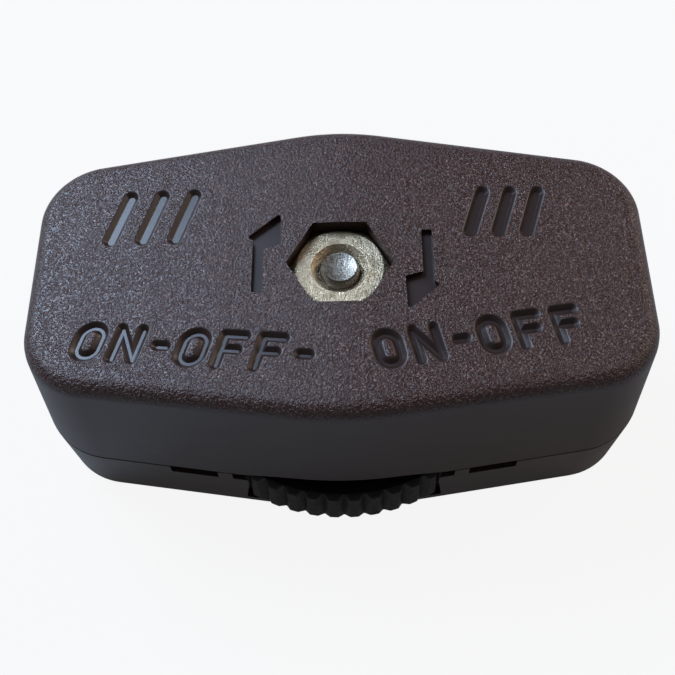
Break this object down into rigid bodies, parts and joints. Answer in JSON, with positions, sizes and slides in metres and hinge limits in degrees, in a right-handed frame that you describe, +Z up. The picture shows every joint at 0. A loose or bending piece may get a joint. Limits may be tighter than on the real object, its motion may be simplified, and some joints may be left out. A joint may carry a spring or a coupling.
{
  "type": "inline cord switch",
  "caption": "Feed-through rotary switch for flat lamp cord: two brown moulded shells clamped by a screw and hex nut, with a black knurled thumbwheel at both long sides.",
  "frame": {"origin": "screw axis at the flat base", "axes": "+X along the cord, +Y to the far long side, +Z up out of the hex nut"},
  "size_m": [0.056, 0.0334, 0.021],
  "materials": {
    "shell": "fine spark-eroded texture on the roof, smoother sides",
    "wheel": "black, knurled",
    "plated_steel": "zinc plated, fine scratches",
    "spring_steel": "rolled sheet",
    "brass": "stamped sheet",
    "contact_silver": "satin",
    "fibre": "pressed fibre sheet"
  },
  "bodies": {
    "case": {"upper_shell": "shell", "lower_shell": "shell", "hex_nut": "plated_steel", "clamp_screw": "plated_steel", "insulator_disc": "fibre", "spring_washer": "spring_steel", "detent_spring": "spring_steel", "detent_rivet": "brass", "contact_left": "brass", "contact_rivet_left": "brass", "contact_tip_left": "contact_silver", "pin_left_inner": "brass", "pin_left_outer": "brass", "contact_right": "brass", "contact_rivet_right": "brass", "contact_tip_right": "contact_silver", "pin_right_inner": "brass", "pin_right_outer": "brass"},
    "wheel": {"thumbwheel": "wheel", "bridge_contact": "brass", "bridge_rivet_a": "brass", "bridge_rivet_b": "brass", "bridge_tip_a": "contact_silver", "bridge_tip_b": "contact_silver"}
  },
  "joints": [
    {"name": "wheel_turn", "type": "hinge", "parent": "case", "child": "wheel", "pos_m": [0, 0, 0.0045], "axis": [0, 0, -1], "continuous": true}
  ]
}
